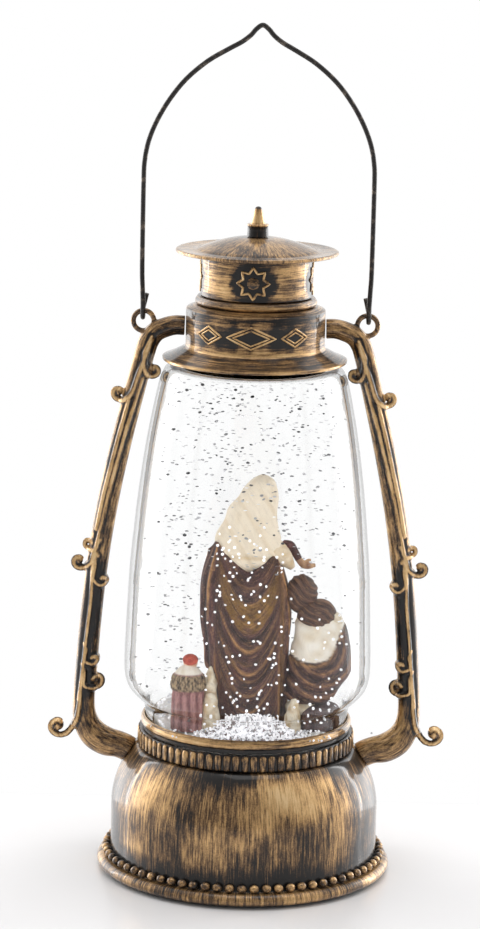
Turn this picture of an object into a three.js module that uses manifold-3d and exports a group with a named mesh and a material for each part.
// Battery lantern: a water-filled clear tank between an antique bronze base and top,
// with two scrolled side arms, a wire bail, and a stirrer drive inside the base.
// Millimetres, +Z up, origin on the standing plane under the middle of the base.
import * as THREE from 'three';
import { mergeVertices } from 'three/addons/utils/BufferGeometryUtils.js';
import Module from 'manifold-3d';

const wasm = await Module();
wasm.setup();

// Clearances: between pieces that touch, round a turning shaft, and between pieces that pass each other
const SEAT_GAP = 0.3;
const RUNNING_GAP = 0.1;
const MOVING_GAP = 0.4;

// Facets round the large, middle and small round pieces, and round screw and shaft holes
const LARGE_SIDES = 28;
const MIDDLE_SIDES = 20;
const SMALL_SIDES = 10;
const HOLE_SIDES = 8;

// Base shell. The shoulder outline is inset from the bowl radius and drop below the base height
const FOOT_CLEARANCE = 0.6;
const BASE_HEIGHT = 47.2;
const BASE_WALL = 2.0;
const BOWL_RADIUS = 50.0;
const BOWL_STRAIGHT_HEIGHT = 24.0;
const BOWL_SHOULDER = [[0.4, 18.2], [1.6, 12.8], [3.8, 8.4], [6.1, 4.4], [8.8, 0]];
const BOWL_INNER_BEND = [4.2, 12.2];
const FOOT_OVERHANG = 2.2;
const FLANGE_OVERHANG = 5.0;
const FLANGE_LIP_OVERHANG = 3.4;
const FLANGE_HEIGHT = 5.4;
const FLANGE_WIDEST_HEIGHT = 2.9;

// Bead row, gadroon ring and tank bezel
const BEAD_COUNT = 72;
const BEAD_RADIUS = 1.6;
const BEAD_CENTRE_OUT = 1.7;
const GADROON_COUNT = 76;
const GADROON_WALL = 2.5;
const GADROON_DEPTH = 0.8;
const GADROON_HEIGHT = 6.4;
const BEZEL_WALL = 1.2;
const BEZEL_HEIGHT = 4.8;
const BEZEL_GROOVE_HEIGHT = 1.4;
const BEZEL_GROOVE_DEPTH = 0.6;

// Tank. The swell is a share of the widening from neck to belly, at a height above the straight neck
const TANK_WALL = 2.6;
const TANK_HEIGHT = 143.3;
const TANK_NECK_RADIUS = 37.7;
const TANK_NECK_LENGTH = 10.9;
const TANK_SWELL = [[0.145, 4.8], [0.53, 6.8], [0.9, 11.2]];
const TANK_BELLY_RADIUS = 46.0;
const TANK_BELLY_HEIGHT = 29.8;
const TANK_SHOULDER_RADIUS = 35.4;
const TANK_TAPER_POWER = 1.9;
const TANK_TAPER_STEPS = 4;
const TANK_CORNER_RISE = 9.9;
const TANK_CORNER_REACH = 8.0;
const GASKET_THICKNESS = 1.7;
const NECK_SEAT_WIDTH = 3.3;

// Stopper, stirrer and ground
const PLUG_THICKNESS = 4.8;
const PLUG_POCKET_DEPTH = 3.0;
const PLUG_POCKET_ROOM = 2.4;
const PIN_RADIUS = 0.9;
const PIN_HOLE_DEPTH = 1.2;
const MAGNET_THICKNESS = 1.6;
const MAGNET_RADIUS = 8.2;
const IMPELLER_RADIUS = 9.4;
const IMPELLER_DISC = 0.9;
const IMPELLER_HUB_RADIUS = 2.8;
const BLADE_HEIGHT = 1.2;
const BLADE_THICKNESS = 1.2;
const BLADE_PAIRS = 2;
const CHAMBER_ROOM = 1.6;
const GROUND_ROOF = 1.2;
const GROUND_TOP_RADIUS = 14.0;
const GROUND_SLOPE_DROP = 1.8;
const GROUND_SLOPE_INSET = 8.5;
const GROUND_EDGE_DROP = 3.2;
const OUTLET_WIDTH = 5.0;
const OUTLET_HEIGHT = 2.4;
const OUTLET_COUNT = 4;

// Motor, drive and bracket
const MOTOR_RADIUS = 10.0;
const MOTOR_ROOM = 3.4;
const SHAFT_RADIUS = 1.0;
const SHAFT_HOLE_DEPTH = 5.0;
const CARRIER_RADIUS = 9.6;
const CARRIER_THICKNESS = 2.0;
const CARRIER_BORE_DEPTH = 1.4;
const SPIN_ROOM = 0.7;
const BRACKET_THICKNESS = 1.6;
const BRACKET_CUP_DEPTH = 6.6;
const BRACKET_CUP_WALL = 1.6;
const BRACKET_WEB = 1.4;
const BRACKET_EDGE = 3.1;
const BOSS_HOLE_RADIUS = 3.2;
const MOTOR_SCREW_RADIUS = 0.9;
const MOTOR_SCREW_HEAD_RADIUS = 1.8;
const MOTOR_SCREW_HEAD_HEIGHT = 1.0;
const MOTOR_SCREW_LENGTH = 3.6;
const MOTOR_SCREW_PLACE = 6.2;
const HANGER_RADIUS = 2.6;
const HANGER_INSET = 2.1;
const BRACKET_SCREW_LENGTH = 6.5;

// Lights, boards and leads
const BOARD_THICKNESS = 1.4;
const LIGHT_BOARD_WIDTH = 15.0;
const LIGHT_RING = 22.0;
const LIGHT_RADIUS = 2.5;
const LIGHT_HEIGHT = 2.9;
const LEAD_RADIUS = 0.7;
const LEAD_HOLE_RADIUS = 1.2;
const LEAD_HOLE_PLACE = 18.0;
const LEAD_STEPS = 8;
const TRIPLES = 3;

// Bottom cover, cells, contacts, switch and feet
const COVER_UNDERSIDE = 1.4;
const COVER_THICKNESS = 2.0;
const CELL_RADIUS = 7.2;
const CELL_LENGTH = 50.0;
const CELL_PITCH = 15.2;
const NIPPLE_RADIUS = 2.7;
const NIPPLE_LENGTH = 1.2;
const CONTACT_THICKNESS = 0.6;
const CONTACT_HEIGHT = 10.0;
const CONTACT_WIDTH = 9.0;
const CONTACT_TAB_WIDTH = 4.0;
const CONTACT_SPRING_RADIUS = 3.2;
const BOX_WALL = 1.5;
const BOX_SIDE_ROOM = 0.6;
const SCREW_RADIUS = 1.2;
const SCREW_HEAD_RADIUS = 2.6;
const SCREW_HEAD_HEIGHT = 1.4;
const SCREW_SINK = 0.9;
const COVER_SCREW_LENGTH = 9.0;
const POST_RADIUS = 3.8;
const POST_INSET = 3.4;
const POST_HEIGHT = 14.0;
const PAD_COUNT = 4;
const PAD_RADIUS = 4.0;
const PAD_INSET = 5.2;
const SWITCH_WIDTH = 20.0;
const SWITCH_DEPTH = 8.0;
const SWITCH_HEIGHT = 6.5;
const SWITCH_INSET = 12.4;
const SWITCH_TRAVEL = 5.0;
const KNOB_WIDTH = 4.0;
const KNOB_DEPTH = 3.0;
const KNOB_REACH = 0.6;

// Collar, neck ring and chimney
const SKIRT_RADIUS = 34.0;
const SKIRT_LIP = 0.9;
const SKIRT_RISE = 4.7;
const DRUM_RADIUS = 25.6;
const DRUM_HEIGHT = 14.4;
const DRUM_WALL = 1.5;
const COLLAR_CHAMFER = 1.5;
const CHIMNEY_RADIUS = 20.4;
const CHIMNEY_WALL = 1.5;
const CHIMNEY_HEIGHT = 15.1;
const CHIMNEY_SEAT = 3.0;
const NECK_RING_OVERHANG = 2.0;
const NECK_RING_HEIGHT = 2.8;

// Cap and finial
const BRIM_OVERHANG = 9.5;
const BRIM_THICKNESS = 1.5;
const DOME_OVERHANG = 1.2;
const DOME_RISE = 4.6;
const DOME_WALL = 1.4;
const DOME_SHARES = [0.15, 0.35, 0.6, 0.85];
const SPIGOT_LENGTH = 2.3;
const FINIAL_NECK_RADIUS = 3.95;
const FINIAL_NECK_HEIGHT = 4.6;
const FINIAL_STEM_RADIUS = 2.0;
const FINIAL_STEM_LENGTH = 3.4;
const CONE_RADIUS = 2.4;
const CONE_TIP_RADIUS = 0.9;
const CONE_HEIGHT = 6.3;

// Relief ornaments on the chimney and the drum
const RELIEF = 0.7;
const STAR_POINTS = 8;
const STAR_RADIUS = 5.6;
const STAR_WAIST = 3.9;
const STAR_LINE = 1.1;
const STAR_DROP = 0.6;
const LARGE_DIAMOND = [9.0, 4.2];
const SMALL_DIAMOND = [4.4, 3.4];
const DIAMOND_LINE = 1.2;
const SMALL_DIAMOND_TURN = 38;
const PATTERN_TURN = -3.4;

// Arms. Both elbows are x, z and half width of the centre line: the upper one from its seat on the drum,
// the lower one from the outer edge of the base's shoulder. A bowed run joins them
const ARM_SEAT_HEIGHT = 7.5;
const UPPER_ELBOW = [
  [0, 0, 3.65], [3.6, 0, 3.65], [7.1, -0.9, 3.7], [10.4, -2.5, 3.75], [12.8, -5.5, 3.8], [14.5, -10.5, 3.8],
];
const LOWER_ELBOW = [
  [19.7, 15.3, 4.2], [18.9, 8.0, 4.7], [15.9, 2.7, 5.4], [11.4, -0.2, 5.5], [7.0, -1.2, 5.1],
  [4.0, -2.3, 5.0], [2.45, -3.25, 4.95],
];
const ARM_BOW = 4.1;
const ARM_STEPS = 7;
const ARM_SIDES = 10;
const ARM_FLATNESS = 0.9;
const SOCKET_DEPTH = 9.5;
const EYE_OUT = 15.15;
const EYE_RISE = 1.4;
const EYE_RADIUS = 3.75;
const EYE_WIRE = 1.0;
// Scrolls: share of the run at the root, then x and z of the stem and the ball from the arm's centre there
const SCROLLS = [
  { at: 0.057, stem: [[0.1, 0.0], [2.3, -6.9], [5.3, -9.9]], ball: [7.4, -7.1], radius: 2.5 },
  { at: 0.0, stem: [[-0.1, 0.5], [-0.1, -5.5], [-1.4, -8.3]], ball: [-3.4, -6.1], radius: 2.2 },
  { at: 0.574, stem: [[0.2, 0.0], [1.7, 2.0]], ball: [3.6, 4.6], radius: 1.3 },
  { at: 0.574, stem: [[1.5, 1.6], [2.5, -2.4], [4.7, -4.8]], ball: [7.3, -2.5], radius: 2.6 },
  { at: 0.574, stem: [[1.1, -3.5], [1.8, -8.4], [0.5, -10.4]], ball: [-1.8, -9.1], radius: 1.9 },
  { at: 0.845, stem: [[0.4, 0.0], [1.0, -4.1], [-0.6, -5.2]], ball: [-2.3, -3.4], radius: 1.6 },
  { at: 0.909, stem: [[0.4, 0.0], [0.6, -5.0], [-1.6, -6.3]], ball: [-3.8, -3.3], radius: 2.7 },
  { at: 1.0, stem: [[1.3, 1.5], [2.3, -6.0], [4.9, -11.3]], ball: [9.7, -9.4], radius: 4.0 },
];
const STEM_START = 1.0;
const STEM_END = 1.5;
const STEM_SIDES = 6;
const STEM_STEPS = 4;

// Bail. The arch is a share of the leg's distance from the middle, at a height above the pivot
const BAIL_WIRE = 0.9;
const BAIL_WIRE_SIDES = 6;
const HOOK_RADIUS = 2.5;
const HOOK_OUT = 0.3;
const LEG_SPREAD = 0.6;
const LEG_BEND = [3.4, 9.4, 17.4];
const BAIL_ARCH = [
  [1, 47.3], [0.993, 55.3], [0.96, 62.5], [0.89, 69.9], [0.786, 77.5], [0.648, 84.9], [0.467, 91.5],
  [0.286, 96.1], [0.176, 98.7], [0.1, 101.2], [0.055, 103.5], [0, 105.1],
];
const HOOK_TURN = 200;
const HOOK_STEPS = 6;
const STUB_LENGTH = 4.6;
const STUB_LEAN = 1.6;

// Figures: rings of centre x, centre y, height, half width and half depth
const FIGURE_SIDES = 10;
const STANDING_RINGS = [
  [1.4, 0.0, 0.0, 12.4, 10.4], [0.2, 0.0, 27.0, 13.4, 10.0], [-1.2, 0.2, 47.0, 15.4, 10.2],
  [-2.6, 0.4, 62.0, 12.9, 9.2], [-1.2, 0.6, 71.0, 10.6, 8.0], [0.4, 0.8, 78.0, 8.8, 6.8],
  [3.0, 1.2, 84.0, 6.4, 6.2], [4.0, 1.6, 88.4, 4.8, 5.2], [4.4, 1.8, 91.6, 2.4, 2.8],
];
const STANDING_PLACE = [0.0, -6.0];
// Sleeve and hand of the standing figure: x, y, height and half width
const STANDING_SLEEVE = [
  [4.0, 3.0, 61.0, 5.2], [11.0, 4.0, 59.6, 4.4], [16.0, 4.4, 58.4, 3.6], [20.4, 4.6, 60.0, 2.0],
  [23.2, 4.8, 60.6, 1.2],
];
const SLEEVE_SIDES = 8;
const KNEELING_RINGS = [
  [-1.2, 0.0, -0.5, 7.0, 8.4], [0.6, 0.0, 8.0, 7.8, 8.8], [2.0, 0.4, 19.0, 9.8, 8.8],
  [1.4, 0.2, 28.0, 10.0, 8.4], [-0.6, 0.2, 35.0, 8.8, 7.2], [-2.0, 0.6, 40.0, 7.6, 7.0],
  [-2.2, 0.8, 46.0, 8.6, 7.8], [-2.4, 0.8, 51.0, 7.0, 6.6], [-2.4, 0.8, 54.2, 3.4, 3.4],
];
const KNEELING_PLACE = [25.0, -7.6];
const CHILD_RINGS = [
  [0.0, 0.0, -1.0, 5.2, 5.2], [0.0, 0.2, 6.0, 5.6, 5.4], [0.0, 0.4, 13.6, 6.0, 5.0],
  [0.2, 0.6, 18.0, 3.4, 3.4], [0.4, 0.6, 21.6, 3.2, 3.4], [0.6, 0.6, 24.6, 1.6, 1.8],
];
const CHILD_PLACE = [-21.6, -16.6];

// Colours, roughness and metalness
const BRONZE = { color: 0x6e5b3c, roughness: 0.4, metalness: 0.7 };
const DARK_STEEL = { color: 0x46423f, roughness: 0.45, metalness: 0.8 };
const CLEAR = { color: 0xf2f6f8, roughness: 0.05, metalness: 0.0, transparent: true, opacity: 0.25 };
const WATER = { color: 0xe6f1f6, roughness: 0.02, metalness: 0.0, transparent: true, opacity: 0.2 };
const BLACK_PLASTIC = { color: 0x1d1d1f, roughness: 0.5, metalness: 0.0 };
const RUBBER = { color: 0x2a2a2a, roughness: 0.9, metalness: 0.0 };
const STEEL = { color: 0xb8b8b8, roughness: 0.35, metalness: 0.9 };
const MAGNET = { color: 0x3a3a3c, roughness: 0.6, metalness: 0.3 };
const BOARD = { color: 0x2d6b3f, roughness: 0.6, metalness: 0.0 };
const ROBE = { color: 0x5f4140, roughness: 0.7, metalness: 0.0 };
const STONE = { color: 0xe1d2b4, roughness: 0.8, metalness: 0.0 };
const WHITE_PLASTIC = { color: 0xe8e8e4, roughness: 0.45, metalness: 0.0 };
const CELL = { color: 0x8c9096, roughness: 0.4, metalness: 0.4 };

// Heights and radii that follow from the sizes above, from the base up
const SHOULDER_RADIUS = BOWL_RADIUS - BOWL_SHOULDER[BOWL_SHOULDER.length - 1][0];
const CEILING = BASE_HEIGHT - BASE_WALL;
const NECK_HOLE_RADIUS = TANK_NECK_RADIUS - NECK_SEAT_WIDTH;
const BEAD_HEIGHT = FLANGE_HEIGHT + SEAT_GAP + BEAD_RADIUS;
const GADROON_BOTTOM = BASE_HEIGHT + SEAT_GAP;
const GADROON_TOP = GADROON_BOTTOM + GADROON_HEIGHT;
const TRIM_BORE = TANK_NECK_RADIUS + MOVING_GAP;
const TANK_BOTTOM = BASE_HEIGHT + SEAT_GAP + GASKET_THICKNESS + SEAT_GAP;
const TANK_TOP = TANK_BOTTOM + TANK_HEIGHT;

const BORE_RADIUS = TANK_NECK_RADIUS - TANK_WALL - SEAT_GAP * 2;
const PLUG_BOTTOM = BASE_HEIGHT + MOVING_GAP;
const PLUG_TOP = PLUG_BOTTOM + PLUG_THICKNESS;
const IMPELLER_BOTTOM = PLUG_TOP + MOVING_GAP;
const IMPELLER_DISC_BOTTOM = IMPELLER_BOTTOM + MAGNET_THICKNESS + SEAT_GAP;
const BLADE_BOTTOM = IMPELLER_DISC_BOTTOM + IMPELLER_DISC;
const CHAMBER_TOP = BLADE_BOTTOM + BLADE_HEIGHT + MOVING_GAP * 2;
const GROUND_BOTTOM = PLUG_TOP + SEAT_GAP;
const GROUND_TOP = CHAMBER_TOP + GROUND_ROOF;
const GROUND_OUTLINE = [
  [BORE_RADIUS, GROUND_TOP - GROUND_EDGE_DROP],
  [BORE_RADIUS - GROUND_SLOPE_INSET, GROUND_TOP - GROUND_SLOPE_DROP],
  [GROUND_TOP_RADIUS, GROUND_TOP], [0, GROUND_TOP],
];
const FIGURE_BOTTOM = GROUND_TOP + SEAT_GAP;

const DRIVE_TOP = PLUG_BOTTOM + PLUG_POCKET_DEPTH - MOVING_GAP;
const CARRIER_TOP = DRIVE_TOP - MAGNET_THICKNESS - SEAT_GAP;
const CARRIER_BOTTOM = CARRIER_TOP - CARRIER_THICKNESS;
const WEB_TOP = CARRIER_BOTTOM - SPIN_ROOM - MOTOR_SCREW_HEAD_HEIGHT - SEAT_GAP;
const WEB_BOTTOM = WEB_TOP - BRACKET_WEB;
const MOTOR_TOP = WEB_BOTTOM - SEAT_GAP;
const BRACKET_BOTTOM = MOTOR_TOP - BRACKET_CUP_DEPTH;
const BRACKET_TOP = BRACKET_BOTTOM + BRACKET_THICKNESS;
const LIGHT_BOARD_BOTTOM = BRACKET_TOP + SEAT_GAP;
const HANGER_RING = NECK_HOLE_RADIUS + HANGER_INSET;

const COVER_TOP = COVER_UNDERSIDE + COVER_THICKNESS;
const COVER_RADIUS = BOWL_RADIUS - BASE_WALL - SEAT_GAP * 2;
const POST_RING = BOWL_RADIUS - BASE_WALL - POST_INSET;
const CELL_HEIGHT = COVER_TOP + SEAT_GAP + CELL_RADIUS;
const BOX_HALF_LENGTH = CELL_LENGTH / 2 + NIPPLE_LENGTH + SEAT_GAP + CONTACT_THICKNESS + SEAT_GAP;
const BOX_HALF_WIDTH = CELL_PITCH + CELL_RADIUS + BOX_SIDE_ROOM;
const BOX_ROOF = CELL_HEIGHT + CELL_RADIUS + SEAT_GAP;
const BOX_TOP = BOX_ROOF + BOX_WALL;
const CONTACT_PLACE = BOX_HALF_LENGTH - SEAT_GAP - CONTACT_THICKNESS / 2;
const CONTROL_BOARD_BOTTOM = BOX_TOP + SEAT_GAP;
const CONTROL_BOARD_TOP = CONTROL_BOARD_BOTTOM + BOARD_THICKNESS;
const MOTOR_BOTTOM = CONTROL_BOARD_TOP + MOTOR_ROOM;
const DOOR_HALF_LENGTH = BOX_HALF_LENGTH - SEAT_GAP;
const DOOR_HALF_WIDTH = BOX_HALF_WIDTH - SEAT_GAP;
const KNUCKLE_RADIUS = COVER_THICKNESS / 2;
const SWITCH_PLACE = -(COVER_RADIUS - SWITCH_INSET);

const SKIRT_UNDERSIDE = TANK_TOP + SEAT_GAP;
const DRUM_BOTTOM = SKIRT_UNDERSIDE + SKIRT_LIP * 0.2 + SKIRT_RISE;
const DRUM_TOP = DRUM_BOTTOM + DRUM_HEIGHT;
const COLLAR_TOP = DRUM_TOP + COLLAR_CHAMFER;
const NECK_RING_RADIUS = CHIMNEY_RADIUS + NECK_RING_OVERHANG;
const NECK_RING_BOTTOM = COLLAR_TOP + SEAT_GAP;
const NECK_RING_TOP = NECK_RING_BOTTOM + NECK_RING_HEIGHT;
const CHIMNEY_BOTTOM = NECK_RING_TOP + SEAT_GAP;
const CHIMNEY_TOP = CHIMNEY_BOTTOM + CHIMNEY_HEIGHT;
const BRIM_BOTTOM = CHIMNEY_TOP + SEAT_GAP;
const BRIM_TOP = BRIM_BOTTOM + BRIM_THICKNESS;
const BRIM_RADIUS = CHIMNEY_RADIUS + BRIM_OVERHANG;
const DOME_RADIUS = CHIMNEY_RADIUS + DOME_OVERHANG;
const DOME_TOP = BRIM_TOP + DOME_RISE;
const FINIAL_BOTTOM = DOME_TOP + SEAT_GAP;

const ARM_SEAT = [DRUM_RADIUS + SEAT_GAP, DRUM_BOTTOM + ARM_SEAT_HEIGHT];
const EYE_PLACE = [ARM_SEAT[0] + EYE_OUT, ARM_SEAT[1] + EYE_RISE];
const PIVOT_HEIGHT = EYE_PLACE[1] + EYE_RADIUS;

const degrees = THREE.MathUtils.degToRad;
const lantern = new THREE.Group();

// Solids from meshes and back
function solidOf(geometry) {
  const bare = new THREE.BufferGeometry();
  bare.setAttribute('position', geometry.getAttribute('position'));
  bare.setIndex(geometry.index);
  const merged = mergeVertices(bare);
  const kept = [];
  const corners = merged.index.array;
  for (let i = 0; i < corners.length; i += 3) {
    const [a, b, c] = [corners[i], corners[i + 1], corners[i + 2]];
    if (a !== b && b !== c && c !== a) kept.push(a, b, c);
  }
  const mesh = new wasm.Mesh({
    numProp: 3,
    vertProperties: new Float32Array(merged.getAttribute('position').array),
    triVerts: new Uint32Array(kept),
  });
  return new wasm.Manifold(mesh);
}

function geometryOf(solid) {
  const mesh = solid.getMesh();
  const geometry = new THREE.BufferGeometry();
  geometry.setAttribute('position', new THREE.BufferAttribute(mesh.vertProperties, 3));
  geometry.setIndex(new THREE.BufferAttribute(mesh.triVerts, 1));
  return geometry;
}

function addPiece(name, finish, solid) {
  const mesh = new THREE.Mesh(geometryOf(solid), new THREE.MeshStandardMaterial(finish));
  mesh.name = name;
  lantern.add(mesh);
}

// A turned piece: its outline of radius and height runs up the outside and back down the axis or the inside
function turned(outline, sides) {
  const points = outline.map(([radius, height]) => new THREE.Vector2(radius, height));
  const closed = outline[0][0] > 0 ? [...points, points[0]] : points;
  const geometry = new THREE.LatheGeometry(closed, sides);
  geometry.rotateX(Math.PI / 2);
  return solidOf(geometry);
}

function disc(radius, bottom, top, sides) {
  return turned([[0, bottom], [radius, bottom], [radius, top], [0, top]], sides);
}

function ring(inner, outer, bottom, top, sides) {
  return turned([[inner, bottom], [outer, bottom], [outer, top], [inner, top]], sides);
}

function rod(radius, bottom, top, [x, y], sides = SMALL_SIDES) {
  const geometry = new THREE.CylinderGeometry(radius, radius, top - bottom, sides);
  geometry.rotateX(Math.PI / 2);
  geometry.translate(x, y, (top + bottom) / 2);
  return solidOf(geometry);
}

function hole(radius, bottom, top, place) {
  return rod(radius, bottom, top, place, HOLE_SIDES);
}

// A cylinder lying along X from one place to another
function lyingRod(radius, from, to, y, z, sides = SMALL_SIDES, endRadius = radius) {
  const geometry = new THREE.CylinderGeometry(endRadius, radius, Math.abs(to - from), sides);
  geometry.rotateZ(to > from ? -Math.PI / 2 : Math.PI / 2);
  geometry.translate((from + to) / 2, y, z);
  return solidOf(geometry);
}

function block([width, depth, height], [x, y], bottom) {
  const geometry = new THREE.BoxGeometry(width, depth, height);
  geometry.translate(x, y, bottom + height / 2);
  return solidOf(geometry);
}

function ball(radius, x, z) {
  const geometry = new THREE.SphereGeometry(radius, 8, 5);
  geometry.translate(x, 0, z);
  return solidOf(geometry);
}

// Skin over a stack of rings, each an array of points, closed by a flat fan at both ends
function skin(rings) {
  const sides = rings[0].length;
  const places = rings.flat();
  const faces = [];
  for (let row = 0; row + 1 < rings.length; row += 1) {
    for (let side = 0; side < sides; side += 1) {
      const a = row * sides + side;
      const b = row * sides + ((side + 1) % sides);
      faces.push(a, b, b + sides, a, b + sides, a + sides);
    }
  }
  const closeEnd = (row, turnOver) => {
    const middle = new THREE.Vector3();
    rings[row].forEach((place) => middle.addScaledVector(place, 1 / sides));
    places.push(middle);
    for (let side = 0; side < sides; side += 1) {
      const a = row * sides + side;
      const b = row * sides + ((side + 1) % sides);
      faces.push(...(turnOver ? [b, a, places.length - 1] : [a, b, places.length - 1]));
    }
  };
  closeEnd(0, true);
  closeEnd(rings.length - 1, false);
  const geometry = new THREE.BufferGeometry().setFromPoints(places);
  geometry.setIndex(faces);
  return solidOf(geometry);
}

// Tube along a line of points with a half width at each, flattened along its across direction
function tube(places, halfWidths, sides, across, flatness = 1) {
  let side = across.clone();
  const rings = places.map((place, i) => {
    const before = places[Math.max(i - 1, 0)];
    const after = places[Math.min(i + 1, places.length - 1)];
    const along = after.clone().sub(before).normalize();
    side = side.addScaledVector(along, -side.dot(along)).normalize();
    const other = new THREE.Vector3().crossVectors(along, side);
    return Array.from({ length: sides }, (_, k) => {
      const angle = ((k + 0.5) / sides) * 2 * Math.PI;
      return place.clone()
        .addScaledVector(side, Math.cos(angle) * halfWidths[i] * flatness)
        .addScaledVector(other, Math.sin(angle) * halfWidths[i]);
    });
  });
  return skin(rings);
}

const ALONG_X = new THREE.Vector3(1, 0, 0);
const ALONG_Y = new THREE.Vector3(0, 1, 0);

// Ring of repeated knobs: outlineAt gives the section for a knob's crest (1) or for the dip beside it (0)
function knobbed(count, outlineAt) {
  const steps = count * 2;
  const places = [];
  const faces = [];
  let corners = 0;
  for (let step = 0; step < steps; step += 1) {
    const angle = (step / steps) * 2 * Math.PI - Math.PI / 2;
    const outline = outlineAt(step % 2 === 0);
    corners = outline.length;
    outline.forEach(([radius, height]) => {
      places.push(new THREE.Vector3(Math.cos(angle) * radius, Math.sin(angle) * radius, height));
    });
  }
  for (let step = 0; step < steps; step += 1) {
    const next = (step + 1) % steps;
    for (let corner = 0; corner < corners; corner += 1) {
      const up = (corner + 1) % corners;
      const [a, b] = [step * corners + corner, next * corners + corner];
      const [c, d] = [next * corners + up, step * corners + up];
      faces.push(a, b, c, a, c, d);
    }
  }
  const geometry = new THREE.BufferGeometry().setFromPoints(places);
  geometry.setIndex(faces);
  return solidOf(geometry);
}

// Relief line work on a drum: a plate pierced by its own inside, trimmed to a thin layer at the drum's skin
function reliefOn(drumRadius, outer, inner, turn, height) {
  const shape = new THREE.Shape(outer);
  shape.holes.push(new THREE.Path(inner));
  const geometry = new THREE.ExtrudeGeometry(shape, { depth: drumRadius, bevelEnabled: false });
  const corners = geometry.getAttribute('position').count;
  geometry.setIndex(Array.from({ length: corners }, (_, i) => i));
  geometry.rotateX(Math.PI / 2);
  geometry.translate(0, -drumRadius / 2, height);
  geometry.rotateZ(degrees(turn));
  const reach = Math.max(...outer.map((place) => Math.abs(place.y))) + RELIEF;
  const layer = ring(drumRadius - RELIEF, drumRadius + RELIEF, height - reach, height + reach, LARGE_SIDES);
  return solidOf(geometry).intersect(layer);
}

function star(tip, waist) {
  return Array.from({ length: STAR_POINTS * 2 }, (_, k) => {
    const angle = (k / STAR_POINTS) * Math.PI + Math.PI / 2;
    const radius = k % 2 === 0 ? tip : waist;
    return new THREE.Vector2(Math.cos(angle) * radius, Math.sin(angle) * radius);
  });
}

function diamond(halfWidth, halfHeight) {
  return [[halfWidth, 0], [0, halfHeight], [-halfWidth, 0], [0, -halfHeight]]
    .map(([x, y]) => new THREE.Vector2(x, y));
}

// Places evenly round a circle
function around(count, radius, firstTurn) {
  return Array.from({ length: count }, (_, k) => {
    const angle = degrees(firstTurn + (k * 360) / count);
    return [Math.cos(angle) * radius, Math.sin(angle) * radius];
  });
}

const MIDDLE = [0, 0];
const POST_PLACES = around(TRIPLES, POST_RING, 90);
const HANGER_PLACES = around(TRIPLES, HANGER_RING, 30);
const LIGHT_PLACES = around(TRIPLES, LIGHT_RING, 90);
const PAD_PLACES = around(PAD_COUNT, COVER_RADIUS - PAD_INSET, 45);
const MOTOR_SCREW_PLACES = [[-MOTOR_SCREW_PLACE, 0], [MOTOR_SCREW_PLACE, 0]];

// Centre of an arm's bowed run at a share of its length; side is 1 for the right arm and -1 for the left
function armRun(share, side) {
  const [topX, topZ] = UPPER_ELBOW[UPPER_ELBOW.length - 1];
  const [endX, endZ] = LOWER_ELBOW[0];
  const x = THREE.MathUtils.lerp(ARM_SEAT[0] + topX, SHOULDER_RADIUS + endX, share)
    + ARM_BOW * Math.sin(Math.PI * share);
  const z = THREE.MathUtils.lerp(ARM_SEAT[1] + topZ, BASE_HEIGHT + endZ, share);
  return new THREE.Vector3(side * x, 0, z);
}

function armPlaces(side) {
  const run = Array.from({ length: ARM_STEPS - 1 }, (_, k) => armRun((k + 1) / ARM_STEPS, side));
  return [
    ...UPPER_ELBOW.map(([x, z]) => new THREE.Vector3(side * (ARM_SEAT[0] + x), 0, ARM_SEAT[1] + z)),
    ...run,
    ...LOWER_ELBOW.map(([x, z]) => new THREE.Vector3(side * (SHOULDER_RADIUS + x), 0, BASE_HEIGHT + z)),
  ];
}

function armWidths() {
  const top = UPPER_ELBOW[UPPER_ELBOW.length - 1][2];
  const run = Array.from({ length: ARM_STEPS - 1 }, (_, k) => (
    THREE.MathUtils.lerp(top, LOWER_ELBOW[0][2], (k + 1) / ARM_STEPS)
  ));
  return [...UPPER_ELBOW.map((place) => place[2]), ...run, ...LOWER_ELBOW.map((place) => place[2])];
}

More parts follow.
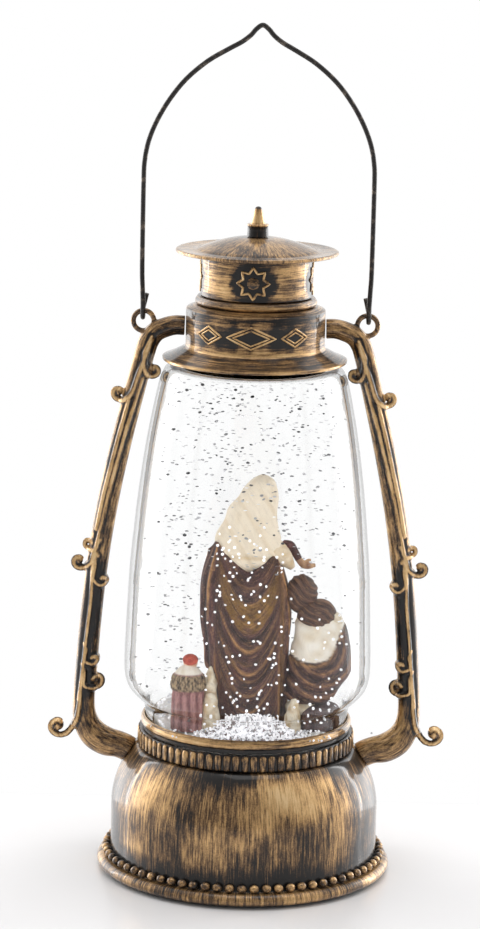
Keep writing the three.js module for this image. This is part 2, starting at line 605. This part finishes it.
// Base shell with its arm sockets, cover posts and bracket hangers
function baseShell() {
  const outside = [
    [0, FOOT_CLEARANCE], [BOWL_RADIUS + FOOT_OVERHANG, FOOT_CLEARANCE],
    [BOWL_RADIUS + FLANGE_OVERHANG, FLANGE_WIDEST_HEIGHT],
    [BOWL_RADIUS + FLANGE_LIP_OVERHANG, FLANGE_HEIGHT], [BOWL_RADIUS, FLANGE_HEIGHT],
    [BOWL_RADIUS, BOWL_STRAIGHT_HEIGHT],
    ...BOWL_SHOULDER.map(([inset, drop]) => [BOWL_RADIUS - inset, BASE_HEIGHT - drop]),
    [0, BASE_HEIGHT],
  ];
  const inside = [
    [0, 0], [BOWL_RADIUS - BASE_WALL, 0], [BOWL_RADIUS - BASE_WALL, BOWL_STRAIGHT_HEIGHT],
    [BOWL_RADIUS - BOWL_INNER_BEND[0], BASE_HEIGHT - BOWL_INNER_BEND[1]],
    [SHOULDER_RADIUS - BASE_WALL, CEILING], [0, CEILING],
  ];
  let solid = turned(outside, LARGE_SIDES);
  for (const side of [1, -1]) {
    const [before, seam] = armPlaces(side).slice(-2);
    const along = seam.clone().sub(before).normalize();
    const places = [SEAT_GAP, SOCKET_DEPTH].map((depth) => seam.clone().addScaledVector(along, depth));
    const halfWidth = LOWER_ELBOW[LOWER_ELBOW.length - 1][2];
    solid = solid.add(tube(places, [halfWidth, halfWidth], ARM_SIDES, ALONG_Y, ARM_FLATNESS));
  }
  solid = solid.subtract(turned(inside, LARGE_SIDES))
    .subtract(disc(SHOULDER_RADIUS, BASE_HEIGHT, BASE_HEIGHT + SOCKET_DEPTH, LARGE_SIDES))
    .subtract(disc(NECK_HOLE_RADIUS, CEILING - 1, BASE_HEIGHT + 1, LARGE_SIDES));
  const postBottom = COVER_TOP + SEAT_GAP;
  POST_PLACES.forEach((place) => {
    solid = solid.add(rod(POST_RADIUS, postBottom, postBottom + POST_HEIGHT, place))
      .subtract(hole(SCREW_RADIUS + SEAT_GAP, postBottom - 1, postBottom + COVER_SCREW_LENGTH, place));
  });
  HANGER_PLACES.forEach((place) => {
    const bottom = BRACKET_TOP + SEAT_GAP;
    solid = solid.add(rod(HANGER_RADIUS, bottom, CEILING + BASE_WALL / 2, place))
      .subtract(hole(SCREW_RADIUS + SEAT_GAP, bottom - 1, bottom + BRACKET_SCREW_LENGTH, place));
  });
  return solid;
}

// Trim rings of the base
function beadRing() {
  return knobbed(BEAD_COUNT, (crest) => {
    const radius = BEAD_RADIUS * (crest ? 1 : 0.55);
    const inside = BOWL_RADIUS + SEAT_GAP;
    const outside = BOWL_RADIUS + BEAD_CENTRE_OUT + radius;
    return [[inside, BEAD_HEIGHT - radius], [outside - radius * 0.5, BEAD_HEIGHT - radius],
      [outside, BEAD_HEIGHT], [inside, BEAD_HEIGHT + radius]];
  });
}

function gadroonRing() {
  return knobbed(GADROON_COUNT, (crest) => {
    const outer = TRIM_BORE + GADROON_WALL - (crest ? 0 : GADROON_DEPTH);
    return [
      [TRIM_BORE, GADROON_BOTTOM], [outer, GADROON_BOTTOM], [outer, GADROON_TOP], [TRIM_BORE, GADROON_TOP],
    ];
  });
}

function tankBezel() {
  const bottom = GADROON_TOP + SEAT_GAP;
  const top = bottom + BEZEL_HEIGHT;
  const outer = TRIM_BORE + BEZEL_WALL;
  return turned([
    [TRIM_BORE, bottom], [outer - BEZEL_GROOVE_DEPTH, bottom],
    [outer - BEZEL_GROOVE_DEPTH, bottom + BEZEL_GROOVE_HEIGHT],
    [outer, bottom + BEZEL_GROOVE_HEIGHT + BEZEL_GROOVE_DEPTH], [outer, top - BEZEL_GROOVE_DEPTH * 2],
    [outer - BEZEL_GROOVE_DEPTH, top], [TRIM_BORE, top],
  ], LARGE_SIDES);
}

// Tank outline drawn in by an inset, from the bottom of the neck to the middle of the top
function tankOutline(inset) {
  const neck = TANK_NECK_RADIUS - inset;
  const belly = TANK_BELLY_RADIUS - inset;
  const shoulder = TANK_SHOULDER_RADIUS - inset;
  const neckTop = TANK_BOTTOM + TANK_NECK_LENGTH;
  const bellyHeight = TANK_BOTTOM + TANK_BELLY_HEIGHT;
  const shoulderHeight = TANK_TOP - TANK_CORNER_RISE;
  const swell = TANK_SWELL.map(([share, height]) => [
    THREE.MathUtils.lerp(neck, belly, share), neckTop + height + (inset / 2) * (1 - share),
  ]);
  const taper = Array.from({ length: TANK_TAPER_STEPS + 1 }, (_, k) => {
    const share = k / TANK_TAPER_STEPS;
    return [
      THREE.MathUtils.lerp(belly, shoulder, share ** TANK_TAPER_POWER),
      THREE.MathUtils.lerp(bellyHeight, shoulderHeight, share),
    ];
  });
  const corner = [0.35, 0.7, 1].map((share) => {
    const angle = (share * Math.PI) / 2;
    return [
      shoulder - TANK_CORNER_REACH * (1 - Math.cos(angle)),
      shoulderHeight + (TANK_CORNER_RISE - inset) * Math.sin(angle),
    ];
  });
  return [[neck, TANK_BOTTOM], [neck, neckTop], ...swell, ...taper, ...corner, [0, TANK_TOP - inset]];
}

function tank() {
  const hollow = tankOutline(TANK_WALL);
  hollow[0][1] = TANK_BOTTOM - 1;
  return turned([[0, TANK_BOTTOM], ...tankOutline(0)], LARGE_SIDES)
    .subtract(turned([[0, TANK_BOTTOM - 1], ...hollow], LARGE_SIDES));
}

// Painted figures on the ground, or the room they take up when they are grown
function draped(ringList, [placeX, placeY], grown) {
  const last = ringList.length - 1;
  return skin(ringList.map(([x, y, height, halfWidth, halfDepth], i) => (
    Array.from({ length: FIGURE_SIDES }, (_, k) => {
      const angle = (k / FIGURE_SIDES) * 2 * Math.PI;
      return new THREE.Vector3(
        placeX + x + Math.cos(angle) * (halfWidth + grown),
        placeY + y + Math.sin(angle) * (halfDepth + grown),
        FIGURE_BOTTOM + height + (i === last ? grown : 0) - (i === 0 ? grown * 5 : 0),
      );
    })
  )));
}

function standingFigure(grown) {
  const [placeX, placeY] = STANDING_PLACE;
  const sleeve = STANDING_SLEEVE.map(([x, y, z]) => (
    new THREE.Vector3(placeX + x, placeY + y, FIGURE_BOTTOM + z)
  ));
  sleeve[sleeve.length - 1].x += grown;
  return draped(STANDING_RINGS, STANDING_PLACE, grown)
    .add(tube(sleeve, STANDING_SLEEVE.map((place) => place[3] + grown), SLEEVE_SIDES, ALONG_Y));
}

function kneelingFigure(grown) {
  return draped(KNEELING_RINGS, KNEELING_PLACE, grown);
}

function childFigure(grown) {
  return draped(CHILD_RINGS, CHILD_PLACE, grown);
}

// Water, kept clear of the wall, the ground and the figures
function waterFill() {
  const outline = tankOutline(TANK_WALL + SEAT_GAP * 2).slice(1);
  const floor = GROUND_OUTLINE.map(([radius, height]) => [radius, height + SEAT_GAP]).reverse();
  let solid = turned([...floor, ...outline], MIDDLE_SIDES);
  [standingFigure, kneelingFigure, childFigure].forEach((figure) => {
    solid = solid.subtract(figure(SEAT_GAP * 2));
  });
  return solid;
}

// Stopper with its drive pocket and its pin hole, and the gasket under the tank's rim
function tankStopper() {
  const pocketRadius = CARRIER_RADIUS + PLUG_POCKET_ROOM;
  return disc(BORE_RADIUS, PLUG_BOTTOM, PLUG_TOP, MIDDLE_SIDES)
    .subtract(disc(pocketRadius, PLUG_BOTTOM - 1, PLUG_BOTTOM + PLUG_POCKET_DEPTH, MIDDLE_SIDES))
    .subtract(hole(PIN_RADIUS + SEAT_GAP, PLUG_TOP - PIN_HOLE_DEPTH - SEAT_GAP, PLUG_TOP + 1, MIDDLE));
}

function tankGasket() {
  const bottom = BASE_HEIGHT + SEAT_GAP;
  return ring(BORE_RADIUS + SEAT_GAP * 2, TANK_NECK_RADIUS, bottom, bottom + GASKET_THICKNESS, MIDDLE_SIDES);
}

// Rocky ground over the stirrer chamber, open to the water through outlets at its side
function figureGround() {
  let solid = turned([[0, GROUND_BOTTOM], [BORE_RADIUS, GROUND_BOTTOM], ...GROUND_OUTLINE], MIDDLE_SIDES)
    .subtract(disc(IMPELLER_RADIUS + CHAMBER_ROOM, GROUND_BOTTOM - 1, CHAMBER_TOP, MIDDLE_SIDES));
  for (let k = 0; k < OUTLET_COUNT; k += 1) {
    const geometry = new THREE.BoxGeometry(BORE_RADIUS * 1.1, OUTLET_WIDTH, OUTLET_HEIGHT * 2);
    geometry.translate(BORE_RADIUS * 0.55, 0, GROUND_BOTTOM);
    geometry.rotateZ(degrees(45 + (k * 360) / OUTLET_COUNT));
    solid = solid.subtract(solidOf(geometry));
  }
  return solid;
}

// Stirrer: a ring magnet under a bladed disc, turning on a steel pin
function impeller() {
  let solid = disc(IMPELLER_RADIUS, IMPELLER_DISC_BOTTOM, BLADE_BOTTOM, MIDDLE_SIDES)
    .add(disc(IMPELLER_HUB_RADIUS, IMPELLER_BOTTOM, BLADE_BOTTOM + BLADE_HEIGHT, SMALL_SIDES));
  for (let k = 0; k < BLADE_PAIRS; k += 1) {
    const overlap = IMPELLER_DISC / 2;
    const geometry = new THREE.BoxGeometry(IMPELLER_RADIUS * 1.9, BLADE_THICKNESS, BLADE_HEIGHT + overlap);
    geometry.translate(0, 0, BLADE_BOTTOM + (BLADE_HEIGHT - overlap) / 2);
    geometry.rotateZ((k * Math.PI) / BLADE_PAIRS);
    solid = solid.add(solidOf(geometry));
  }
  return solid.subtract(rod(PIN_RADIUS + RUNNING_GAP, IMPELLER_BOTTOM - 1, CHAMBER_TOP, MIDDLE, HOLE_SIDES));
}

// Motor with its shaft, and the carrier that holds the drive magnet
function motorCan() {
  let solid = disc(MOTOR_RADIUS, MOTOR_BOTTOM, MOTOR_TOP, MIDDLE_SIDES)
    .subtract(hole(SHAFT_RADIUS + RUNNING_GAP, MOTOR_TOP - SHAFT_HOLE_DEPTH, MOTOR_TOP + 1, MIDDLE));
  MOTOR_SCREW_PLACES.forEach((place) => {
    const bottom = WEB_TOP - MOTOR_SCREW_LENGTH - SEAT_GAP;
    solid = solid.subtract(hole(MOTOR_SCREW_RADIUS + SEAT_GAP, bottom, MOTOR_TOP + 1, place));
  });
  return solid;
}

function motorShaft() {
  const bottom = MOTOR_TOP - SHAFT_HOLE_DEPTH + SEAT_GAP;
  return rod(SHAFT_RADIUS, bottom, CARRIER_BOTTOM + CARRIER_BORE_DEPTH - SEAT_GAP, MIDDLE, HOLE_SIDES);
}

function driveCarrier() {
  return disc(CARRIER_RADIUS, CARRIER_BOTTOM, CARRIER_TOP, MIDDLE_SIDES)
    .subtract(hole(SHAFT_RADIUS + SEAT_GAP, CARRIER_BOTTOM - 1, CARRIER_BOTTOM + CARRIER_BORE_DEPTH, MIDDLE));
}

// Bracket: a plate under the hangers that carries the light board, and a cup over the motor
function motorBracket() {
  const bore = MOTOR_RADIUS + SEAT_GAP;
  let solid = ring(bore, HANGER_RING + BRACKET_EDGE, BRACKET_BOTTOM, BRACKET_TOP, MIDDLE_SIDES)
    .add(ring(bore, bore + BRACKET_CUP_WALL, BRACKET_BOTTOM, WEB_TOP, MIDDLE_SIDES))
    .add(ring(BOSS_HOLE_RADIUS, bore + BRACKET_CUP_WALL / 2, WEB_BOTTOM, WEB_TOP, MIDDLE_SIDES))
    .subtract(hole(LEAD_HOLE_RADIUS, BRACKET_BOTTOM - 1, BRACKET_TOP + 1, [-LEAD_HOLE_PLACE, 0]));
  HANGER_PLACES.forEach((place) => {
    solid = solid.subtract(hole(SCREW_RADIUS + SEAT_GAP, BRACKET_BOTTOM - 1, BRACKET_TOP + 1, place));
  });
  MOTOR_SCREW_PLACES.forEach((place) => {
    solid = solid.subtract(hole(MOTOR_SCREW_RADIUS + SEAT_GAP, WEB_BOTTOM - 1, WEB_TOP + 1, place));
  });
  return solid;
}

function motorScrew(place) {
  const seat = WEB_TOP + SEAT_GAP;
  const shankTop = seat + MOTOR_SCREW_HEAD_HEIGHT / 2;
  return rod(MOTOR_SCREW_HEAD_RADIUS, seat, seat + MOTOR_SCREW_HEAD_HEIGHT, place)
    .add(rod(MOTOR_SCREW_RADIUS, seat - MOTOR_SCREW_LENGTH, shankTop, place, HOLE_SIDES));
}

// A screw driven upwards, with its head's lower face at the given height
function risingScrew(place, headBottom, length) {
  const headTop = headBottom + SCREW_HEAD_HEIGHT;
  return rod(SCREW_HEAD_RADIUS, headBottom, headTop, place)
    .add(rod(SCREW_RADIUS, headBottom + SCREW_HEAD_HEIGHT / 2, headTop + length, place, HOLE_SIDES));
}

function lightEmitter([x, y]) {
  const bottom = LIGHT_BOARD_BOTTOM + BOARD_THICKNESS + SEAT_GAP;
  return turned([
    [0, bottom], [LIGHT_RADIUS, bottom], [LIGHT_RADIUS, bottom + LIGHT_HEIGHT * 0.4],
    [LIGHT_RADIUS * 0.7, bottom + LIGHT_HEIGHT * 0.8], [0, bottom + LIGHT_HEIGHT],
  ], SMALL_SIDES).translate([x, y, 0]);
}

function leadAlong(route) {
  const curve = new THREE.CatmullRomCurve3(route.map((place) => new THREE.Vector3(...place)));
  const places = curve.getPoints(LEAD_STEPS);
  return tube(places, places.map(() => LEAD_RADIUS), 6, ALONG_Y);
}

// Leads from the control board: one to the side of the motor, one up through the bracket to the light board
function motorLead() {
  const start = CONTROL_BOARD_TOP + SEAT_GAP + LEAD_RADIUS;
  const side = MOTOR_RADIUS + SEAT_GAP + LEAD_RADIUS;
  const rise = MOTOR_BOTTOM - start;
  return leadAlong([
    [side - 1, 0, start], [side + 3, 0, start + rise * 0.3], [side + 3, 0, start + rise * 1.6],
    [side, 0, MOTOR_BOTTOM + rise * 1.2],
  ]);
}

function lightLead() {
  const x = -LEAD_HOLE_PLACE;
  const start = CONTROL_BOARD_TOP + SEAT_GAP;
  const end = LIGHT_BOARD_BOTTOM - SEAT_GAP;
  return leadAlong([
    [x, 0, start], [x, 0, start + 2], [x - 2, 0, (start + end) / 2], [x, 0, BRACKET_BOTTOM - 1], [x, 0, end],
  ]);
}

// Bottom cover with the cell box, the screw wells, the contact slots and the switch slot
function bottomCover() {
  const boxHeight = BOX_TOP - COVER_TOP + BOX_WALL;
  const boxSize = [2 * (BOX_HALF_LENGTH + BOX_WALL), 2 * (BOX_HALF_WIDTH + BOX_WALL), boxHeight];
  const slotSize = [SWITCH_TRAVEL + KNOB_WIDTH + MOVING_GAP * 2, KNOB_DEPTH + MOVING_GAP * 2, COVER_TOP + 1];
  let solid = disc(COVER_RADIUS, COVER_UNDERSIDE, COVER_TOP, LARGE_SIDES)
    .add(block(boxSize, MIDDLE, COVER_TOP - BOX_WALL))
    .subtract(block([2 * BOX_HALF_LENGTH, 2 * BOX_HALF_WIDTH, BOX_ROOF], MIDDLE, 0))
    .subtract(block(slotSize, [0, SWITCH_PLACE], 0));
  POST_PLACES.forEach((place) => {
    solid = solid.subtract(hole(SCREW_RADIUS + SEAT_GAP, 0, COVER_TOP + 1, place))
      .subtract(rod(SCREW_HEAD_RADIUS + SEAT_GAP, 0, COVER_UNDERSIDE + SCREW_SINK, place));
  });
  [-1, 1].forEach((side) => {
    const size = [CONTACT_THICKNESS + SEAT_GAP * 2, CONTACT_TAB_WIDTH + SEAT_GAP * 2, BOX_WALL + 2];
    solid = solid.subtract(block(size, [side * CONTACT_PLACE, -side * CELL_PITCH], BOX_ROOF - 1));
  });
  return solid;
}

function batteryDoor() {
  const hinge = -(DOOR_HALF_WIDTH - KNUCKLE_RADIUS);
  const height = COVER_UNDERSIDE + KNUCKLE_RADIUS;
  const size = [2 * DOOR_HALF_LENGTH, DOOR_HALF_WIDTH - hinge, COVER_THICKNESS];
  return block(size, [0, (DOOR_HALF_WIDTH + hinge) / 2], COVER_UNDERSIDE)
    .add(lyingRod(KNUCKLE_RADIUS, -DOOR_HALF_LENGTH, DOOR_HALF_LENGTH, hinge, height));
}

// A cell lies along X with its nipple towards the given side
function cell(y, side) {
  const half = (side * CELL_LENGTH) / 2;
  return lyingRod(CELL_RADIUS, -half, half, y, CELL_HEIGHT)
    .add(lyingRod(NIPPLE_RADIUS, half - side, half + side * NIPPLE_LENGTH, y, CELL_HEIGHT));
}

// A contact at one end of the box: flat at a nipple, with a spring boss at a cell's flat end,
// and with a tab up to the control board where the row of cells begins or ends
function contact(side, places, springs, tab) {
  const face = side * (CONTACT_PLACE - CONTACT_THICKNESS / 2);
  const width = Math.max(...places) - Math.min(...places) + CONTACT_WIDTH;
  const middle = (Math.max(...places) + Math.min(...places)) / 2;
  let solid = block([CONTACT_THICKNESS, width, CONTACT_HEIGHT], [side * CONTACT_PLACE, middle],
    CELL_HEIGHT - CONTACT_HEIGHT / 2);
  springs.forEach((y) => {
    const reach = face - side * NIPPLE_LENGTH;
    solid = solid.add(lyingRod(CONTACT_SPRING_RADIUS, face + (side * CONTACT_THICKNESS) / 2, reach,
      y, CELL_HEIGHT, SMALL_SIDES, CONTACT_SPRING_RADIUS * 0.7));
  });
  if (tab) {
    const size = [CONTACT_THICKNESS, CONTACT_TAB_WIDTH, BOX_TOP - CELL_HEIGHT];
    solid = solid.add(block(size, [side * CONTACT_PLACE, middle], CELL_HEIGHT));
  }
  return solid;
}

// Collar: flared skirt and drum, with line-work diamonds on its front and back
function collar() {
  const lip = SKIRT_LIP * 0.2;
  let solid = turned([
    [DRUM_RADIUS - DRUM_WALL, SKIRT_UNDERSIDE], [SKIRT_RADIUS - SKIRT_LIP, SKIRT_UNDERSIDE],
    [SKIRT_RADIUS, SKIRT_UNDERSIDE + lip], [SKIRT_RADIUS, SKIRT_UNDERSIDE + lip + SKIRT_LIP],
    [DRUM_RADIUS + 1.2, DRUM_BOTTOM - 0.3], [DRUM_RADIUS, DRUM_BOTTOM], [DRUM_RADIUS, DRUM_TOP],
    [NECK_RING_RADIUS, COLLAR_TOP], [CHIMNEY_RADIUS - CHIMNEY_SEAT, COLLAR_TOP],
    [CHIMNEY_RADIUS - CHIMNEY_SEAT, COLLAR_TOP - DRUM_WALL], [DRUM_RADIUS - DRUM_WALL, DRUM_TOP - DRUM_WALL],
  ], LARGE_SIDES);
  const height = (DRUM_BOTTOM + DRUM_TOP) / 2;
  const addDiamond = ([halfWidth, halfHeight], sideLine, turn) => {
    const hollow = diamond(halfWidth - sideLine, halfHeight - DIAMOND_LINE);
    solid = solid.add(reliefOn(DRUM_RADIUS, diamond(halfWidth, halfHeight), hollow, turn, height));
  };
  for (const facing of [0, 180]) {
    addDiamond(LARGE_DIAMOND, DIAMOND_LINE * 2.3, facing + PATTERN_TURN);
    addDiamond(SMALL_DIAMOND, DIAMOND_LINE, facing + PATTERN_TURN - SMALL_DIAMOND_TURN);
    addDiamond(SMALL_DIAMOND, DIAMOND_LINE, facing + PATTERN_TURN + SMALL_DIAMOND_TURN);
  }
  return solid;
}

function neckRing() {
  return turned([
    [CHIMNEY_RADIUS - CHIMNEY_SEAT, NECK_RING_BOTTOM], [NECK_RING_RADIUS - 0.6, NECK_RING_BOTTOM],
    [NECK_RING_RADIUS, NECK_RING_BOTTOM + 0.8], [NECK_RING_RADIUS - 0.7, NECK_RING_TOP],
    [CHIMNEY_RADIUS - CHIMNEY_SEAT, NECK_RING_TOP],
  ], LARGE_SIDES);
}

function chimney() {
  let solid = ring(CHIMNEY_RADIUS - CHIMNEY_WALL, CHIMNEY_RADIUS, CHIMNEY_BOTTOM, CHIMNEY_TOP, LARGE_SIDES);
  const outline = star(STAR_RADIUS, STAR_WAIST);
  const hollow = star(STAR_RADIUS - STAR_LINE * 1.5, STAR_WAIST - STAR_LINE);
  const height = (CHIMNEY_BOTTOM + CHIMNEY_TOP) / 2 - STAR_DROP;
  for (const facing of [0, 90, 180, 270]) {
    solid = solid.add(reliefOn(CHIMNEY_RADIUS, outline, hollow, facing + PATTERN_TURN, height));
  }
  return solid;
}

// Cap: rolled brim, domed crown with a hole for the finial, and a spigot that drops into the chimney
function cap() {
  const crown = DOME_SHARES.map((share) => [
    THREE.MathUtils.lerp(DOME_RADIUS, FINIAL_STEM_RADIUS, share),
    BRIM_TOP + DOME_RISE * Math.sin((share * Math.PI) / 2),
  ]);
  const spigot = CHIMNEY_RADIUS - CHIMNEY_WALL - SEAT_GAP;
  const bore = FINIAL_STEM_RADIUS + SEAT_GAP;
  return turned([
    [spigot - DOME_WALL, BRIM_BOTTOM - SPIGOT_LENGTH], [spigot, BRIM_BOTTOM - SPIGOT_LENGTH],
    [spigot, BRIM_BOTTOM],
    [BRIM_RADIUS - 0.6, BRIM_BOTTOM], [BRIM_RADIUS, BRIM_BOTTOM + 0.5], [BRIM_RADIUS, BRIM_TOP - 0.4],
    [BRIM_RADIUS - 0.8, BRIM_TOP], [DOME_RADIUS + 0.3, BRIM_TOP - 0.2], ...crown,
    [bore, DOME_TOP], [bore, DOME_TOP - DOME_WALL],
    [spigot - DOME_WALL * 3, BRIM_TOP + 0.4], [spigot - DOME_WALL, BRIM_BOTTOM],
  ], LARGE_SIDES);
}

function finial() {
  const neckTop = FINIAL_BOTTOM + FINIAL_NECK_HEIGHT;
  return turned([
    [0, FINIAL_BOTTOM - FINIAL_STEM_LENGTH], [FINIAL_STEM_RADIUS, FINIAL_BOTTOM - FINIAL_STEM_LENGTH],
    [FINIAL_STEM_RADIUS, FINIAL_BOTTOM], [FINIAL_NECK_RADIUS, FINIAL_BOTTOM],
    [FINIAL_NECK_RADIUS - 0.2, neckTop - 0.7], [FINIAL_NECK_RADIUS, neckTop - 0.4],
    [FINIAL_NECK_RADIUS, neckTop], [CONE_RADIUS, neckTop],
    [CONE_TIP_RADIUS, neckTop + CONE_HEIGHT - 0.6], [0, neckTop + CONE_HEIGHT],
  ], MIDDLE_SIDES);
}

// Arms with their eyes and scrolls
function scroll({ at, stem, ball: ballPlace, radius }, side) {
  const root = armRun(at, side);
  const placed = ([x, z]) => new THREE.Vector3(root.x + side * x, 0, root.z + z);
  const places = new THREE.CatmullRomCurve3([...stem, ballPlace].map(placed)).getPoints(STEM_STEPS);
  const widths = places.map((_, i) => THREE.MathUtils.lerp(STEM_START, STEM_END, i / STEM_STEPS));
  const end = placed(ballPlace);
  return tube(places, widths, STEM_SIDES, ALONG_Y).add(ball(radius, end.x, end.z));
}

function arm(side) {
  const eye = new THREE.TorusGeometry(EYE_RADIUS, EYE_WIRE, 6, 14);
  eye.rotateX(Math.PI / 2);
  eye.translate(side * EYE_PLACE[0], 0, EYE_PLACE[1]);
  let solid = tube(armPlaces(side), armWidths(), ARM_SIDES, ALONG_Y, ARM_FLATNESS).add(solidOf(eye));
  SCROLLS.forEach((place) => {
    solid = solid.add(scroll(place, side));
  });
  return solid;
}

// Bail: one wire from hook to hook, bent round the top of each eye
function bail() {
  const hookPlace = EYE_PLACE[0] + HOOK_OUT;
  const legPlace = hookPlace + LEG_SPREAD;
  const hook = Array.from({ length: HOOK_STEPS + 1 }, (_, step) => {
    const angle = degrees((HOOK_TURN * step) / HOOK_STEPS);
    const [across, up] = [-HOOK_RADIUS * Math.cos(angle), -HOOK_RADIUS * Math.sin(angle)];
    return new THREE.Vector3(hookPlace, across, PIVOT_HEIGHT + up);
  });
  const stub = hook[hook.length - 1].clone().add(new THREE.Vector3(-STUB_LEAN, 0, STUB_LENGTH));
  const leg = LEG_BEND.map((height, i) => {
    const share = i / (LEG_BEND.length - 1);
    return new THREE.Vector3(THREE.MathUtils.lerp(hookPlace, legPlace, share), -HOOK_RADIUS * (1 - share),
      PIVOT_HEIGHT + height);
  });
  const arch = BAIL_ARCH.map(([share, height]) => (
    new THREE.Vector3(legPlace * share, 0, PIVOT_HEIGHT + height)
  ));
  const right = [stub, ...hook.reverse(), ...leg, ...arch];
  const left = right.slice(0, -1).reverse().map(({ x, y, z }) => new THREE.Vector3(-x, y, z));
  const places = [...right, ...left];
  return tube(places, places.map(() => BAIL_WIRE), BAIL_WIRE_SIDES, ALONG_X);
}

addPiece('base_shell', BRONZE, baseShell());
addPiece('bead_ring', BRONZE, beadRing());
addPiece('gadroon_ring', BRONZE, gadroonRing());
addPiece('tank_bezel', BRONZE, tankBezel());
addPiece('collar', BRONZE, collar());
addPiece('neck_ring', BRONZE, neckRing());
addPiece('chimney', BRONZE, chimney());
addPiece('cap', BRONZE, cap());
addPiece('finial', BRONZE, finial());
addPiece('right_arm', BRONZE, arm(1));
addPiece('left_arm', BRONZE, arm(-1));
addPiece('bail', DARK_STEEL, bail());

addPiece('tank', CLEAR, tank());
addPiece('water_fill', WATER, waterFill());
addPiece('tank_stopper', CLEAR, tankStopper());
addPiece('tank_gasket', RUBBER, tankGasket());
addPiece('figure_ground', STONE, figureGround());
addPiece('standing_figure', ROBE, standingFigure(0));
addPiece('kneeling_figure', ROBE, kneelingFigure(0));
addPiece('child_figure', ROBE, childFigure(0));

addPiece('impeller', WHITE_PLASTIC, impeller());
addPiece('impeller_magnet', MAGNET, ring(IMPELLER_HUB_RADIUS + SEAT_GAP, MAGNET_RADIUS,
  IMPELLER_BOTTOM, IMPELLER_BOTTOM + MAGNET_THICKNESS, MIDDLE_SIDES));
addPiece('impeller_pin', STEEL, rod(PIN_RADIUS, PLUG_TOP - PIN_HOLE_DEPTH, CHAMBER_TOP - SEAT_GAP,
  MIDDLE, HOLE_SIDES));
addPiece('drive_magnet', MAGNET, disc(MAGNET_RADIUS, DRIVE_TOP - MAGNET_THICKNESS, DRIVE_TOP, MIDDLE_SIDES));
addPiece('drive_carrier', BLACK_PLASTIC, driveCarrier());
addPiece('motor_shaft', STEEL, motorShaft());
addPiece('motor_can', STEEL, motorCan());
addPiece('motor_bracket', BLACK_PLASTIC, motorBracket());
MOTOR_SCREW_PLACES.forEach((place, k) => {
  addPiece(`motor_screw_${k + 1}`, STEEL, motorScrew(place));
});
HANGER_PLACES.forEach((place, k) => {
  const headBottom = BRACKET_BOTTOM - SEAT_GAP - SCREW_HEAD_HEIGHT;
  addPiece(`bracket_screw_${k + 1}`, STEEL, risingScrew(place, headBottom, BRACKET_SCREW_LENGTH));
});

addPiece('light_board', BOARD, ring(LIGHT_RING - LIGHT_BOARD_WIDTH / 2, LIGHT_RING + LIGHT_BOARD_WIDTH / 2,
  LIGHT_BOARD_BOTTOM, LIGHT_BOARD_BOTTOM + BOARD_THICKNESS, MIDDLE_SIDES));
LIGHT_PLACES.forEach((place, k) => {
  addPiece(`led_${k + 1}`, WHITE_PLASTIC, lightEmitter(place));
});
addPiece('light_lead', BLACK_PLASTIC, lightLead());
addPiece('motor_lead', BLACK_PLASTIC, motorLead());
addPiece('control_board', BOARD, block([2 * BOX_HALF_LENGTH, 2 * BOX_HALF_WIDTH, BOARD_THICKNESS],
  MIDDLE, CONTROL_BOARD_BOTTOM));

addPiece('bottom_cover', BLACK_PLASTIC, bottomCover());
addPiece('battery_door', BLACK_PLASTIC, batteryDoor());
POST_PLACES.forEach((place, k) => {
  const headBottom = COVER_UNDERSIDE + SCREW_SINK - SEAT_GAP - SCREW_HEAD_HEIGHT;
  addPiece(`cover_screw_${k + 1}`, STEEL, risingScrew(place, headBottom, COVER_SCREW_LENGTH));
});
[-1, 0, 1].forEach((place, k) => {
  addPiece(`battery_${k + 1}`, CELL, cell(place * CELL_PITCH, k % 2 === 0 ? 1 : -1));
});
addPiece('contact_first', STEEL, contact(1, [-CELL_PITCH], [], true));
addPiece('contact_front_pair', STEEL, contact(-1, [-CELL_PITCH, 0], [-CELL_PITCH], false));
addPiece('contact_rear_pair', STEEL, contact(1, [0, CELL_PITCH], [0], false));
addPiece('contact_last', STEEL, contact(-1, [CELL_PITCH], [CELL_PITCH], true));
addPiece('switch_body', BLACK_PLASTIC, block([SWITCH_WIDTH, SWITCH_DEPTH, SWITCH_HEIGHT],
  [0, SWITCH_PLACE], COVER_TOP + SEAT_GAP));
addPiece('switch_knob', WHITE_PLASTIC, block([KNOB_WIDTH, KNOB_DEPTH, COVER_THICKNESS + KNOB_REACH],
  [-SWITCH_TRAVEL / 2, SWITCH_PLACE], COVER_UNDERSIDE - KNOB_REACH));
PAD_PLACES.forEach((place, k) => {
  addPiece(`foot_pad_${k + 1}`, RUBBER, rod(PAD_RADIUS, 0, COVER_UNDERSIDE - SEAT_GAP, place));
});

export default lantern;
